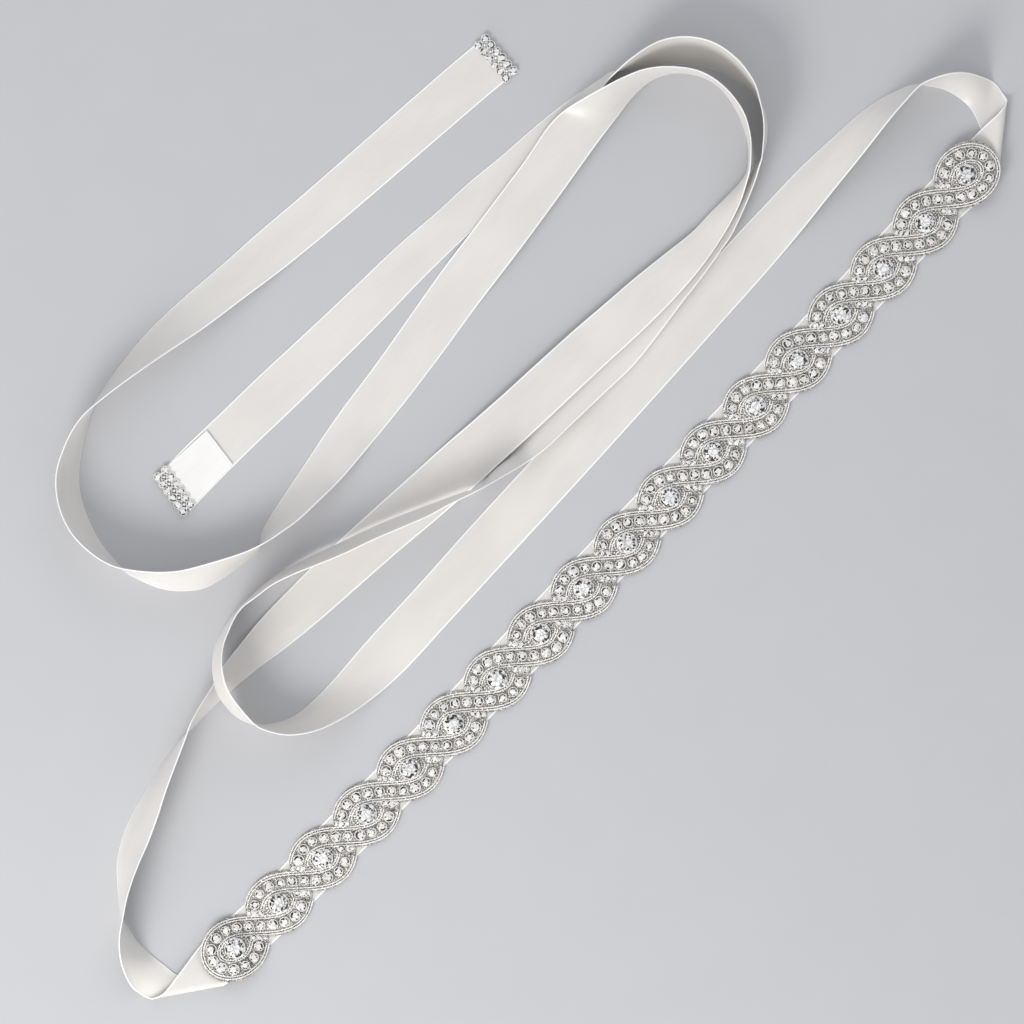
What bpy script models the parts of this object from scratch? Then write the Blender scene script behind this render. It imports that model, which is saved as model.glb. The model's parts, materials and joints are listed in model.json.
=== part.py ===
"""Rhinestone bridal belt: one long satin ribbon lying loose in loops, with a beaded applique sewn along its middle."""
import math

import bpy
import numpy as np

# Ribbon sizes, in metres. The real satin is thinner than this wall.
RIBBON_WIDTH = 0.01905
RIBBON_WALL = 0.001
SEAM_GAP = 0.0003

# The photograph's frame: its pixels give places, and the ribbon's width gives their real size.
RIBBON_PIXELS = 47.6
PIXEL = RIBBON_WIDTH / RIBBON_PIXELS
CENTRE_PIXEL_X = 531.82
CENTRE_PIXEL_Y = 517.02

# Applique sizes, in metres
MEDALLIONS = 18
FIRST_MEDALLION = (235.0, 948.0)
LAST_MEDALLION = (970.0, 175.0)
NECK_HALF_WIDTH = 0.0056
SCALLOP_REACH = 0.0064
BOW = 0.0021
END_CAP = 0.0165
BACKING = 0.0009
BAND_SWING = 0.0083
BAND_HALF_WIDTH = 0.0024
BAND_HEIGHT = 0.0006
BORDER_HEIGHT = 0.0005
STONE_RADIUS = 0.0042
STONE_HEIGHT = 0.0026
SIDE_STONE_RADIUS = 0.0021
SIDE_STONE_HEIGHT = 0.0015
SIDE_STONE_PLACES = ((0.0023, 0.0088), (0.0068, 0.0081))
COLUMNS_PER_MEDALLION = 12
ROWS_ACROSS = 10

# Rhinestone rows that close the two tails, in metres
TIP_STONES = 6
TIP_ROWS = 2
TIP_PITCH = 0.0033
TIP_STONE_RADIUS = 0.00155
TIP_STONE_HEIGHT = 0.0018
TIP_BACKING = 0.0006
CELLS_PER_STONE = 4
FIRST_TIP = ((496.0, 58.0), (28.5, 33.5))
SECOND_TIP = ((174.0, 491.5), (26.0, 34.5))

# Second tail's hem, its four corners in the photograph
HEM_CORNERS = ((207.5, 431.5), (232.0, 463.5), (191.0, 508.5), (163.5, 472.0))
HEM_WALL = 0.001

# Each row is one section of the ribbon, from selvedge a to selvedge b. The columns are a's x and y and b's x and y
# in the photograph's pixels, the lower selvedge's height over the floor in millimetres, and how far the ribbon
# stands up on it: 1 with selvedge b up, -1 with selvedge a up, 0 lying flat.
RIBBON = (
    ("first_tail", (
        (484.0, 37.0, 514.5, 73.5, 0.0, 0.0),
        (460.0, 57.0, 490.5, 93.5, 0.0, 0.0),
        (400.0, 109.0, 431.0, 144.5, 0.0, 0.0),
        (340.0, 162.0, 370.5, 196.5, 0.0, 0.0),
        (300.0, 197.0, 328.5, 232.0, 0.0, 0.0),
        (260.0, 231.0, 285.0, 267.5, 0.0, 0.15),
    )),
    ("first_tail_turn", (
        (220.0, 266.5, 242.5, 299.5, 0.0, 0.4),
        (180.0, 301.0, 202.5, 329.5, 0.0, 0.65),
        (150.0, 330.0, 170.5, 351.0, 0.0, 0.85),
        (125.0, 359.5, 140.5, 371.5, 0.0, 1.0),
        (108.0, 383.0, 115.5, 389.5, 0.0, 1.0),
        (97.0, 400.0, 99.5, 402.0, 0.0, 1.0),
    )),
    ("left_loop_upper", (
        (93.0, 409.5, 88.5, 411.0, 0.0, 1.0),
        (87.0, 429.0, 74.0, 429.0, 0.0, 1.0),
        (82.0, 448.0, 63.5, 451.0, 0.0, 1.0),
        (79.0, 478.0, 56.5, 479.0, 0.0, 1.0),
    )),
    ("left_loop_lower", (
        (81.5, 500.0, 59.5, 506.0, 0.0, 1.0),
        (89.0, 521.0, 70.0, 530.0, 0.0, 1.0),
        (99.0, 541.0, 85.0, 547.5, 0.0, 1.0),
        (108.0, 553.0, 100.0, 559.0, 0.0, 1.0),
        (117.0, 563.5, 115.0, 566.5, 0.0, 1.0),
    )),
    ("left_loop_foot", (
        (127.0, 573.0, 129.0, 569.5, 0.0, 1.0),
        (141.0, 580.5, 146.0, 571.5, 0.0, 1.0),
        (159.0, 588.0, 163.0, 572.0, 0.0, 1.0),
    )),
    ("left_loop_band", (
        (182.0, 591.0, 181.0, 570.5, 0.0, 1.0),
        (204.0, 588.0, 198.0, 566.5, 0.0, 1.0),
        (222.0, 578.5, 214.0, 562.0, 0.0, 1.0),
        (238.0, 567.0, 231.0, 557.0, 0.0, 1.0),
        (252.0, 556.5, 248.0, 551.0, 0.0, 1.0),
    )),
    ("left_run_foot", (
        (262.0, 547.5, 261.0, 545.0, 0.0, 1.0),
        (263.0, 538.5, 270.0, 540.0, 0.0, 1.0),
        (264.5, 527.5, 282.0, 532.0, 0.0, 1.0),
        (272.5, 513.5, 297.0, 521.5, 0.0, 0.95),
        (285.0, 494.0, 318.0, 502.0, 0.0, 0.8),
        (302.0, 468.5, 340.0, 480.5, 0.0, 0.5),
        (322.0, 438.0, 362.0, 455.0, 0.0, 0.2),
    )),
    ("left_run", (
        (341.0, 410.5, 381.0, 432.0, 0.0, 0.0),
        (370.0, 372.0, 408.0, 398.5, 0.0, 0.0),
        (400.0, 330.0, 438.5, 358.5, 0.0, 0.0),
        (440.0, 273.0, 478.5, 304.0, 0.3, 0.0),
        (480.0, 220.5, 519.0, 251.0, 1.8, 0.0),
        (521.0, 166.0, 559.5, 196.0, 2.0, 0.0),
    )),
    ("inner_loop_rise", (
        (561.0, 113.0, 599.0, 141.0, 2.8, 0.0),
        (584.0, 98.5, 619.0, 114.5, 2.4, -0.6),
        (605.0, 87.0, 632.0, 97.5, 1.6, -0.75),
        (622.0, 78.5, 646.0, 84.0, 0.8, -0.9),
        (641.0, 71.0, 657.5, 77.5, 0.0, -1.0),
        (659.0, 67.8, 668.5, 74.0, 0.0, -1.0),
    )),
    ("inner_loop_crown", (
        (678.0, 68.0, 680.0, 73.0, 0.0, -1.0),
        (700.0, 72.5, 699.0, 76.0, 0.0, -1.0),
        (720.0, 84.5, 718.5, 86.5, 0.0, -1.0),
        (735.5, 101.0, 732.0, 103.0, 0.0, -1.0),
    )),
    ("inner_loop_side", (
        (744.0, 115.0, 739.8, 117.0, 0.0, -1.0),
        (748.3, 129.0, 744.6, 130.0, 0.0, -1.0),
        (750.4, 142.0, 748.0, 142.5, 0.4, -1.0),
        (750.3, 156.0, 748.8, 156.0, 1.4, -1.0),
        (749.0, 172.0, 747.4, 171.5, 2.6, -0.85),
        (745.5, 185.0, 740.3, 182.5, 2.8, -0.62),
    )),
    ("upper_run_neck", (
        (741.0, 200.0, 728.0, 196.0, 2.8, -0.48),
        (732.0, 220.0, 712.0, 211.5, 2.8, -0.38),
        (719.0, 242.0, 694.0, 230.5, 2.8, -0.3),
        (700.0, 269.0, 668.0, 251.5, 3.2, -0.25),
        (675.0, 298.0, 639.0, 274.5, 3.3, -0.15),
    )),
    ("upper_run", (
        (640.0, 333.0, 604.0, 304.5, 3.4, 0.0),
        (610.0, 360.5, 577.0, 327.5, 3.2, 0.0),
        (569.0, 399.0, 537.0, 363.5, 4.0, 0.0),
        (529.0, 436.5, 498.5, 398.5, 3.6, 0.0),
        (505.0, 458.5, 474.0, 420.0, 2.8, 0.0),
    )),
    ("lower_run", (
        (480.0, 481.5, 446.0, 444.0, 1.4, 0.0),
        (440.0, 516.5, 405.5, 480.5, 0.2, 0.0),
        (400.0, 550.0, 366.0, 516.0, 0.0, 0.0),
        (360.0, 585.0, 328.0, 551.0, 0.0, 0.0),
        (320.0, 620.0, 291.0, 587.5, 0.0, 0.05),
    )),
    ("lower_run_turn", (
        (285.0, 648.5, 259.5, 620.5, 0.0, 0.12),
        (260.0, 667.0, 238.5, 646.5, 0.0, 0.18),
        (240.0, 683.0, 223.0, 667.0, 0.0, 0.25),
        (221.0, 699.0, 212.0, 687.0, 0.0, 0.35),
        (205.0, 715.0, 200.0, 706.5, 0.0, 0.75),
        (194.5, 726.0, 191.5, 722.5, 0.0, 1.0),
    )),
    ("corner_side", (
        (181.0, 739.5, 186.5, 737.0, 0.0, 1.0),
        (168.0, 757.0, 179.0, 757.0, 0.0, 1.0),
        (150.0, 783.5, 167.5, 788.0, 0.0, 1.0),
        (133.0, 813.0, 157.5, 819.0, 0.0, 1.0),
        (121.5, 841.0, 148.5, 843.0, 0.0, 1.0),
        (117.0, 866.0, 138.5, 866.0, 0.0, 1.0),
    )),
    ("corner_twist", (
        (118.0, 888.0, 130.5, 888.0, 0.0, 1.0),
        (119.5, 905.0, 126.0, 905.0, 0.0, 1.0),
        (122.0, 918.0, 123.5, 919.0, 0.0, 1.0),
        (127.5, 927.0, 121.0, 931.0, 0.0, 1.0),
        (137.0, 942.0, 120.0, 948.0, 0.0, 1.0),
    )),
    ("corner_lean", (
        (150.0, 954.0, 122.5, 966.0, 0.0, 0.8),
        (163.0, 964.0, 131.0, 986.0, 0.0, 0.35),
        (182.0, 978.0, 139.5, 993.5, 0.0, 0.15),
    )),
    ("corner_roll", (
        (208.0, 984.5, 146.5, 997.6, 0.2, 0.0),
        (222.0, 986.0, 153.0, 998.8, 1.9, 0.0),
        (229.0, 981.5, 162.5, 994.0, 3.8, 0.0),
        (234.0, 974.0, 178.0, 975.0, 3.2, 0.0),
        (242.5, 968.5, 205.5, 939.0, 1.2, 0.0),
        (259.5, 954.5, 226.0, 921.0, 0.0, 0.0),
    )),
    ("belt_lower", (
        (372.0, 841.0, 338.0, 808.0, 0.0, 0.0),
        (620.5, 580.0, 586.0, 547.0, 0.0, 0.0),
    )),
    ("belt_upper", (
        (869.0, 318.5, 834.0, 285.0, 0.0, 0.0),
        (969.5, 209.5, 935.5, 176.0, 0.0, 0.0),
    )),
    ("end_roll", (
        (984.0, 197.0, 964.0, 147.0, 0.7, 0.0),
        (990.0, 190.0, 984.0, 126.5, 2.2, 0.0),
        (994.0, 183.0, 1001.0, 110.5, 3.6, 0.0),
        (998.5, 177.0, 1007.0, 101.0, 1.8, 0.0),
        (994.0, 168.0, 1002.5, 93.0, 0.0, 0.0),
        (984.0, 138.0, 994.0, 82.5, 0.0, 0.0),
    )),
    ("end_loop", (
        (973.0, 112.0, 982.0, 77.0, 0.0, 0.3),
        (960.0, 98.5, 965.0, 73.0, 0.0, 0.7),
        (943.0, 89.0, 945.5, 75.0, 0.0, 1.0),
        (930.0, 86.2, 931.5, 79.8, 0.0, 1.0),
        (921.0, 84.6, 922.0, 84.0, 0.0, 1.0),
    )),
    ("long_run_head", (
        (910.5, 85.5, 912.5, 93.0, 0.0, 1.0),
        (897.0, 91.0, 903.5, 103.0, 0.0, 1.0),
        (880.0, 99.5, 892.5, 116.0, 0.0, 1.0),
        (860.0, 113.5, 879.5, 132.5, 0.0, 0.9),
        (838.0, 133.0, 862.5, 154.5, 0.0, 0.7),
        (800.0, 168.0, 830.0, 195.0, 0.0, 0.45),
        (770.0, 199.5, 803.0, 229.0, 0.0, 0.2),
    )),
    ("long_run_upper", (
        (740.0, 231.0, 774.5, 263.0, 0.0, 0.0),
        (700.0, 274.5, 735.0, 307.5, 0.0, 0.0),
        (620.0, 362.0, 655.0, 397.0, 0.0, 0.0),
        (533.0, 458.0, 568.0, 493.0, 0.0, 0.0),
    )),
    ("long_run_lower", (
        (470.0, 527.0, 505.0, 561.5, 0.0, 0.0),
        (410.0, 594.0, 446.0, 625.5, 0.0, 0.0),
        (365.0, 643.0, 401.5, 673.5, 0.0, 0.0),
        (335.0, 678.0, 372.0, 699.0, 0.0, 0.3),
    )),
    ("long_run_foot", (
        (315.0, 699.5, 341.0, 719.5, 0.0, 0.75),
        (298.0, 714.0, 313.0, 731.5, 0.0, 0.95),
        (281.0, 722.3, 286.5, 734.5, 0.0, 1.0),
        (266.0, 725.0, 268.0, 730.5, 0.0, 1.0),
        (256.0, 725.0, 257.0, 725.6, 0.3, 1.0),
    )),
    ("small_loop_low", (
        (246.5, 722.0, 249.5, 718.0, 0.8, 1.0),
        (236.5, 716.5, 241.0, 708.0, 2.2, 1.0),
        (225.0, 704.5, 232.0, 695.5, 5.2, 1.0),
        (217.0, 691.5, 226.5, 684.5, 7.6, 1.0),
        (213.5, 676.0, 223.5, 671.5, 7.8, 1.0),
        (213.0, 660.0, 222.5, 657.5, 5.0, 1.0),
    )),
    ("small_loop_high", (
        (216.5, 643.5, 224.5, 643.5, 2.2, 1.0),
        (224.0, 628.0, 229.7, 629.7, 0.6, 1.0),
        (232.0, 616.0, 234.8, 618.4, 0.0, 1.0),
        (241.0, 606.0, 242.2, 607.8, 0.0, 1.0),
        (253.5, 594.5, 255.5, 597.5, 0.0, 1.0),
        (270.0, 579.8, 272.8, 584.6, 0.0, 1.0),
    )),
    ("cross_run_standing", (
        (290.0, 567.5, 293.0, 574.5, 0.9, 1.0),
        (313.0, 555.5, 316.5, 565.0, 1.7, 1.0),
        (340.0, 543.0, 344.5, 553.5, 1.7, 1.0),
        (370.0, 528.5, 375.0, 539.0, 1.7, 1.0),
        (400.0, 516.0, 404.5, 526.5, 1.8, 1.0),
        (425.0, 506.5, 428.5, 516.0, 2.2, 1.0),
        (447.0, 498.5, 449.5, 504.5, 2.8, 1.0),
        (465.0, 492.0, 466.5, 496.3, 3.2, 1.0),
    )),
    ("cross_run_tuck", (
        (481.0, 486.5, 482.0, 488.5, 2.0, 1.0),
        (493.0, 479.0, 494.5, 481.5, 0.6, 0.9),
        (504.5, 468.0, 508.5, 473.5, 0.2, 0.65),
        (514.0, 453.0, 524.5, 464.0, 0.1, 0.35),
        (528.0, 428.0, 545.5, 449.0, 0.6, 0.25),
    )),
    ("cross_run", (
        (545.0, 402.0, 570.0, 426.0, 1.3, 0.16),
        (570.0, 368.0, 600.0, 397.5, 1.4, 0.08),
        (604.0, 327.0, 637.0, 361.5, 1.4, 0.0),
        (625.0, 302.0, 660.0, 332.5, 1.4, 0.1),
        (648.0, 277.0, 682.0, 303.0, 1.3, 0.18),
    )),
    ("outer_loop_neck", (
        (672.0, 255.0, 702.0, 277.5, 0.9, 0.22),
        (694.0, 234.0, 719.0, 253.5, 0.3, 0.28),
        (710.0, 219.0, 731.0, 236.0, 0.0, 0.33),
        (724.0, 203.0, 741.0, 215.5, 0.0, 0.42),
        (737.0, 188.0, 749.5, 195.5, 0.0, 0.55),
        (748.5, 173.5, 755.8, 178.0, 0.0, 0.7),
        (756.0, 165.0, 758.6, 168.0, 0.0, 0.9),
    )),
    ("outer_loop_side", (
        (761.2, 157.5, 761.4, 158.5, 0.0, 1.0),
        (764.8, 149.0, 762.2, 149.0, 0.0, 1.0),
        (767.0, 137.0, 763.2, 137.0, 0.0, 1.0),
        (767.2, 125.0, 763.4, 125.6, 0.0, 1.0),
        (764.6, 112.5, 762.0, 113.3, 0.0, 1.0),
        (759.0, 101.0, 759.2, 101.0, 0.0, 1.0),
    )),
    ("outer_loop_crown", (
        (752.0, 92.0, 755.5, 87.0, 0.0, 1.0),
        (740.0, 84.5, 748.0, 73.5, 0.0, 1.0),
        (723.0, 74.0, 735.0, 58.0, 0.0, 1.0),
        (704.0, 67.0, 713.0, 43.0, 0.0, 1.0),
        (684.0, 64.8, 687.0, 37.2, 0.0, 1.0),
    )),
    ("outer_loop_fall", (
        (664.0, 65.5, 661.0, 41.0, 0.0, 1.0),
        (645.0, 68.5, 640.0, 52.5, 0.0, 1.0),
        (631.0, 71.0, 624.0, 65.0, 0.0, 0.9),
        (621.0, 71.0, 617.5, 71.2, 0.0, 0.75),
        (611.5, 72.0, 610.5, 78.0, 0.0, 0.6),
    )),
    ("second_tail_turn", (
        (600.0, 79.5, 603.0, 87.5, 0.0, 0.4),
        (585.0, 89.5, 593.0, 101.0, 0.0, 0.2),
        (562.0, 105.0, 577.0, 124.0, 0.0, 0.06),
        (530.0, 131.0, 551.0, 157.0, 0.0, 0.0),
        (500.0, 157.0, 527.0, 184.0, 0.0, 0.0),
    )),
    ("second_tail_upper", (
        (470.0, 181.5, 499.0, 208.0, 0.0, 0.0),
        (440.0, 209.0, 466.5, 236.5, 0.0, 0.0),
        (400.0, 243.5, 430.0, 271.5, 0.0, 0.0),
        (350.0, 291.0, 383.0, 320.0, 0.0, 0.0),
    )),
    ("second_tail", (
        (300.0, 338.0, 335.0, 368.0, 0.0, 0.0),
        (260.0, 375.0, 293.5, 408.5, 0.0, 0.0),
        (220.0, 413.5, 253.0, 447.0, 0.0, 0.0),
        (180.0, 452.0, 213.0, 487.0, 0.0, 0.0),
        (162.0, 471.0, 190.0, 511.0, 0.0, 0.0),
    )),
)

CELLS_ACROSS = 2
LONGEST_STEP = 0.0035
MOST_STEPS = 4

SATIN = ("satin", (0.80, 0.78, 0.76), 0.35, 0.0)
SATIN_BACK = ("satin_hem", (0.88, 0.87, 0.86), 0.4, 0.0)
CRYSTAL = ("crystal_beading", (0.75, 0.75, 0.76), 0.2, 0.6)


def clear_scene():
    for item in list(bpy.data.objects):
        bpy.data.objects.remove(item, do_unlink=True)


def make_material(settings):
    name, colour, roughness, metallic = settings
    material = bpy.data.materials.get(name) or bpy.data.materials.new(name)
    material.use_nodes = True
    shader = material.node_tree.nodes["Principled BSDF"]
    shader.inputs["Base Color"].default_value = (*colour, 1.0)
    shader.inputs["Roughness"].default_value = roughness
    shader.inputs["Metallic"].default_value = metallic
    return material


def on_floor(x, y):
    """A photograph pixel's place on the floor, in metres."""
    return np.array([(x - CENTRE_PIXEL_X) * PIXEL, (CENTRE_PIXEL_Y - y) * PIXEL, 0.0])


def section_ends(row):
    """The two selvedges of one section, in the middle of the wall."""
    a_x, a_y, b_x, b_y, lift, stand = row
    a = on_floor(a_x, a_y)
    b = on_floor(b_x, b_y)
    seen = np.linalg.norm(b - a)
    rise = abs(stand) * math.sqrt(max(RIBBON_WIDTH ** 2 - seen ** 2, 0.0))
    low = lift * 0.001 + RIBBON_WALL / 2
    a[2] = low + (rise if stand < 0 else 0.0)
    b[2] = low + (rise if stand > 0 else 0.0)
    return np.concatenate([a, b])


class SmoothRibbon:
    """A smooth strip through all the sections, measured along its middle."""

    def __init__(self, rows):
        self.ends = np.array([section_ends(row) for row in rows])
        middles = (self.ends[:, :3] + self.ends[:, 3:]) / 2
        steps = np.linalg.norm(np.diff(middles, axis=0), axis=1)
        self.places = np.concatenate([[0.0], np.cumsum(steps)])
        self.slopes = self.find_slopes(steps[:, None])

    def find_slopes(self, steps):
        rates = np.diff(self.ends, axis=0) / steps
        slopes = np.empty_like(self.ends)
        slopes[0] = rates[0]
        slopes[-1] = rates[-1]
        slopes[1:-1] = (rates[:-1] * steps[1:] + rates[1:] * steps[:-1]) / (steps[:-1] + steps[1:])
        for height in (2, 5):
            turning = rates[:-1, height] * rates[1:, height] <= 0
            slopes[1:-1, height][turning] = 0.0
            for i, rate in enumerate(rates[:, height]):
                limit = 3 * abs(rate)
                slopes[i, height] = np.clip(slopes[i, height], -limit, limit)
                slopes[i + 1, height] = np.clip(slopes[i + 1, height], -limit, limit)
        return slopes

    def ends_at(self, place):
        i = int(np.clip(np.searchsorted(self.places, place) - 1, 0, len(self.places) - 2))
        step = self.places[i + 1] - self.places[i]
        t = (place - self.places[i]) / step
        return ((2 * t ** 3 - 3 * t ** 2 + 1) * self.ends[i] + (t ** 3 - 2 * t ** 2 + t) * step * self.slopes[i]
                + (3 * t ** 2 - 2 * t ** 3) * self.ends[i + 1] + (t ** 3 - t ** 2) * step * self.slopes[i + 1])

    def wall_at(self, place):
        """The points across the wall's two faces at one place."""
        here = self.ends_at(place)
        reach = 0.0002
        ahead = self.ends_at(min(place + reach, self.places[-1]))
        behind = self.ends_at(max(place - reach, 0.0))
        across = here[3:] - here[:3]
        upper, lower = [], []
        for k in range(CELLS_ACROSS + 1):
            share = k / CELLS_ACROSS
            point = here[:3] + share * across
            along = (1 - share) * (ahead - behind)[:3] + share * (ahead - behind)[3:]
            normal = np.cross(along, across)
            normal = normal / np.linalg.norm(normal)
            upper.append(point + normal * RIBBON_WALL / 2)
            lower.append(point - normal * RIBBON_WALL / 2)
        return upper, lower

    def stations(self, first, last):
        """The places where one stretch has a ring of points, between two rows."""
        places = [self.places[first] + (SEAM_GAP / 2 if first else 0.0)]
        for i in range(first, last):
            length = self.places[i + 1] - self.places[i]
            steps = min(MOST_STEPS, max(1, math.ceil(length / LONGEST_STEP)))
            places += [self.places[i] + length * k / steps for k in range(1, steps + 1)]
        if last < len(self.places) - 1:
            places[-1] -= SEAM_GAP / 2
        return places


def signed_volume(points, faces):
    total = 0.0
    for face in faces:
        for k in range(1, len(face) - 1):
            total += np.dot(points[face[0]], np.cross(points[face[k]], points[face[k + 1]]))
    return total


def add_object(name, points, faces, material_settings):
    """One closed solid, its faces turned outwards."""
    if signed_volume(points, faces) < 0:
        faces = [tuple(reversed(face)) for face in faces]
    mesh = bpy.data.meshes.new(name)
    mesh.from_pydata([tuple(point) for point in points], [], faces)
    mesh.materials.append(make_material(material_settings))
    mesh.shade_smooth()
    mesh.set_sharp_from_angle(angle=math.radians(35))
    item = bpy.data.objects.new(name, mesh)
    bpy.context.scene.collection.objects.link(item)
    return item


def wall_solid(rings):
    """Points and faces of a wall from rings of upper and lower points."""
    width = len(rings[0][0])
    points = [point for upper, lower in rings for point in (*upper, *lower)]
    faces = []
    for i in range(len(rings) - 1):
        here = i * 2 * width
        there = here + 2 * width
        for k in range(width - 1):
            faces.append((here + k, here + k + 1, there + k + 1, there + k))
            faces.append((here + width + k, there + width + k, there + width + k + 1, here + width + k + 1))
        faces.append((here, there, there + width, here + width))
        faces.append((here + width - 1, here + 2 * width - 1, there + 2 * width - 1, there + width - 1))
    end = (len(rings) - 1) * 2 * width
    for k in range(width - 1):
        faces.append((k, width + k, width + k + 1, k + 1))
        faces.append((end + k, end + k + 1, end + width + k + 1, end + width + k))
    return points, faces


def make_ribbon():
    rows = [row for _, stretch in RIBBON for row in stretch]
    ribbon = SmoothRibbon(rows)
    first = 0
    for i, (name, stretch) in enumerate(RIBBON):
        last = first + len(stretch) - (1 if i == len(RIBBON) - 1 else 0)
        rings = [ribbon.wall_at(place) for place in ribbon.stations(first, last)]
        add_object(name, *wall_solid(rings), SATIN)
        first = last
    return ribbon


def dome(distance, radius, height):
    return height * math.sqrt(max(1.0 - (distance / radius) ** 2, 0.0))


class Applique:
    """The beaded band: a chain of medallions, measured along the belt from the first one and across it."""

    def __init__(self):
        self.start = on_floor(*FIRST_MEDALLION)
        chain = on_floor(*LAST_MEDALLION) - self.start
        self.length = np.linalg.norm(chain)
        self.along = chain / self.length
        self.across = np.cross([0.0, 0.0, 1.0], self.along)
        self.pitch = self.length / (MEDALLIONS - 1)

    def bow(self, place):
        """How far the chain swings to its lower side between its ends."""
        return BOW * math.sin(math.pi * min(max(place / self.length, 0.0), 1.0))

    def half_width(self, place):
        """The scalloped edge, closed by a round cap past the first and last medallions."""
        round_stone = min(max(place, 0.0), self.length) / self.pitch
        scallop = NECK_HALF_WIDTH + SCALLOP_REACH * abs(math.cos(math.pi * round_stone)) ** 0.75
        beyond = max(-place, place - self.length, 0.0) / END_CAP
        return scallop * max(1.0 - beyond ** 2, 0.0) ** 0.8 + 0.0004

    def relief(self, place, side, edge):
        """How high the beading stands over its backing at one point."""
        phase = place / self.pitch
        from_stone = place - round(phase) * self.pitch
        height = BACKING
        for band in (math.floor(phase) - 1, math.floor(phase), math.floor(phase) + 1):
            if -0.3 < phase - band < 1.3:
                off_band = (side - BAND_SWING * math.cos(math.pi * (phase - band))) / BAND_HALF_WIDTH
                height = max(height, BACKING + BAND_HEIGHT * math.exp(-off_band ** 2))
        height = max(height, BACKING + BORDER_HEIGHT * (abs(side) > 0.7 * edge))
        if 0 <= round(phase) <= MEDALLIONS - 1:
            height = max(height, BACKING + dome(math.hypot(from_stone, side), STONE_RADIUS, STONE_HEIGHT))
            for forward, outward in SIDE_STONE_PLACES:
                distance = math.hypot(abs(from_stone) - forward, abs(side) - outward)
                height = max(height, BACKING + dome(distance, SIDE_STONE_RADIUS, SIDE_STONE_HEIGHT))
        return height

    def bases(self, places, ribbon):
        """The height of the backing's underside at each place, clear of the ribbon below it."""
        heights = np.full(len(places), RIBBON_WALL)
        for place in np.linspace(0.0, ribbon.places[-1], 4000):
            ends = ribbon.ends_at(place)
            for share in (0.0, 0.25, 0.5, 0.75, 1.0):
                point = (1 - share) * ends[:3] + share * ends[3:]
                forward = np.dot(point - self.start, self.along)
                side = np.dot(point - self.start, self.across)
                if abs(side) > NECK_HALF_WIDTH + SCALLOP_REACH + BOW:
                    continue
                near = np.abs(places - forward) < 0.003
                heights[near] = np.maximum(heights[near], point[2] + RIBBON_WALL / 2)
        reach = 2
        raised = [heights[max(i - reach, 0):i + reach + 1].max() for i in range(len(heights))]
        evened = [np.mean(raised[max(i - reach, 0):i + reach + 1]) for i in range(len(raised))]
        return np.array(evened) + SEAM_GAP


def make_applique(ribbon):
    band = Applique()
    cell = band.pitch / COLUMNS_PER_MEDALLION
    cap_cells = math.floor(END_CAP / cell)
    columns = (MEDALLIONS - 1) * COLUMNS_PER_MEDALLION + 2 * cap_cells
    places = (np.arange(columns + 1) - cap_cells) * cell
    bases = band.bases(places, ribbon)
    rings = []
    for place, base in zip(places, bases):
        edge = band.half_width(place)
        upper, lower = [], []
        for k in range(ROWS_ACROSS + 1):
            side = edge * (2 * k / ROWS_ACROSS - 1)
            point = band.start + place * band.along + (side - band.bow(place)) * band.across
            upper.append(point + np.array([0.0, 0.0, base + band.relief(place, side, edge)]))
            lower.append(point + np.array([0.0, 0.0, base]))
        rings.append((upper, lower))
    points, faces = wall_solid(rings)
    add_object("applique", points, faces, CRYSTAL)


def make_tip(name, tip, base):
    """Rows of set stones across one end of the ribbon."""
    centre, direction = tip
    middle = on_floor(*centre)
    across = on_floor(*(centre[0] + direction[0], centre[1] + direction[1])) - middle
    across = across / np.linalg.norm(across)
    along = np.cross([0.0, 0.0, 1.0], across)
    rings = []
    columns = TIP_STONES * CELLS_PER_STONE
    cells = TIP_ROWS * CELLS_PER_STONE
    for i in range(columns + 1):
        side = (i / CELLS_PER_STONE - TIP_STONES / 2) * TIP_PITCH
        upper, lower = [], []
        for k in range(cells + 1):
            forward = (k / CELLS_PER_STONE - TIP_ROWS / 2) * TIP_PITCH
            off_side = (i % CELLS_PER_STONE) / CELLS_PER_STONE - 0.5
            off_forward = (k % CELLS_PER_STONE) / CELLS_PER_STONE - 0.5
            distance = TIP_PITCH * math.hypot(off_side, off_forward)
            height = TIP_BACKING + dome(distance, TIP_STONE_RADIUS, TIP_STONE_HEIGHT)
            point = middle + side * across + forward * along
            upper.append(point + np.array([0.0, 0.0, base + height]))
            lower.append(point + np.array([0.0, 0.0, base]))
        rings.append((upper, lower))
    points, faces = wall_solid(rings)
    add_object(name, points, faces, CRYSTAL)


def make_hem(base):
    """The second tail's end turned back on itself and stitched."""
    fold_a, fold_b, end_b, end_a = [on_floor(*corner) for corner in HEM_CORNERS]
    rings = []
    for start, stop in ((fold_a, fold_b), (end_a, end_b)):
        lower = [start + (stop - start) * k / CELLS_ACROSS + np.array([0.0, 0.0, base]) for k in range(CELLS_ACROSS + 1)]
        upper = [point + np.array([0.0, 0.0, HEM_WALL]) for point in lower]
        rings.append((upper, lower))
    points, faces = wall_solid(rings)
    add_object("second_tail_hem", points, faces, SATIN_BACK)


def main():
    clear_scene()
    ribbon = make_ribbon()
    make_applique(ribbon)
    on_ribbon = RIBBON_WALL + SEAM_GAP
    make_hem(on_ribbon)
    make_tip("first_tail_stones", FIRST_TIP, on_ribbon)
    make_tip("second_tail_stones", SECOND_TIP, on_ribbon + HEM_WALL + SEAM_GAP)


main()
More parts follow.
